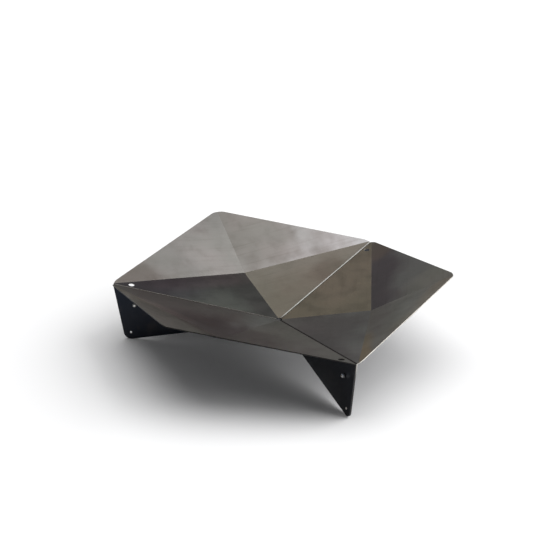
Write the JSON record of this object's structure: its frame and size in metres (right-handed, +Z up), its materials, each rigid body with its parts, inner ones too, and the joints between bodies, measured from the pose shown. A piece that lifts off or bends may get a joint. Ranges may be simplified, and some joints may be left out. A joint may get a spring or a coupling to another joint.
{
  "type": "fire bowl",
  "caption": "Low hexagonal fire bowl of folded steel sheets bolted back to back, with alternate rim corners raised and plate legs under the low ones.",
  "frame": {"origin": "on the bowl's vertical axis, on the ground that its feet stand on", "axes": "+Z up; +X towards the raised corner of right_sheet; the legs lie at 60, 180 and 300 degrees about +Z from +X"},
  "size_m": [0.9102, 0.8018, 0.2347],
  "materials": {
    "bare_steel": "bare rolled steel sheet, dark, lightly streaked, with faint bronze, violet and green-grey heat tints",
    "zinc_plated_steel": "satin zinc plating on small fasteners"
  },
  "bodies": {
    "root": {"right_sheet": "bare_steel", "rear_left_sheet": "bare_steel", "front_left_sheet": "bare_steel", "rear_leg_outer_bolt": "zinc_plated_steel", "rear_leg_outer_nut": "zinc_plated_steel", "rear_leg_outer_head_washer": "zinc_plated_steel", "rear_leg_outer_nut_washer": "zinc_plated_steel", "rear_leg_inner_bolt": "zinc_plated_steel", "rear_leg_inner_nut": "zinc_plated_steel", "rear_leg_inner_head_washer": "zinc_plated_steel", "rear_leg_inner_nut_washer": "zinc_plated_steel", "left_leg_outer_bolt": "zinc_plated_steel", "left_leg_outer_nut": "zinc_plated_steel", "left_leg_outer_head_washer": "zinc_plated_steel", "left_leg_outer_nut_washer": "zinc_plated_steel", "left_leg_inner_bolt": "zinc_plated_steel", "left_leg_inner_nut": "zinc_plated_steel", "left_leg_inner_head_washer": "zinc_plated_steel", "left_leg_inner_nut_washer": "zinc_plated_steel", "front_leg_outer_bolt": "zinc_plated_steel", "front_leg_outer_nut": "zinc_plated_steel", "front_leg_outer_head_washer": "zinc_plated_steel", "front_leg_outer_nut_washer": "zinc_plated_steel", "front_leg_inner_bolt": "zinc_plated_steel", "front_leg_inner_nut": "zinc_plated_steel", "front_leg_inner_head_washer": "zinc_plated_steel", "front_leg_inner_nut_washer": "zinc_plated_steel"}
  },
  "joints": []
}
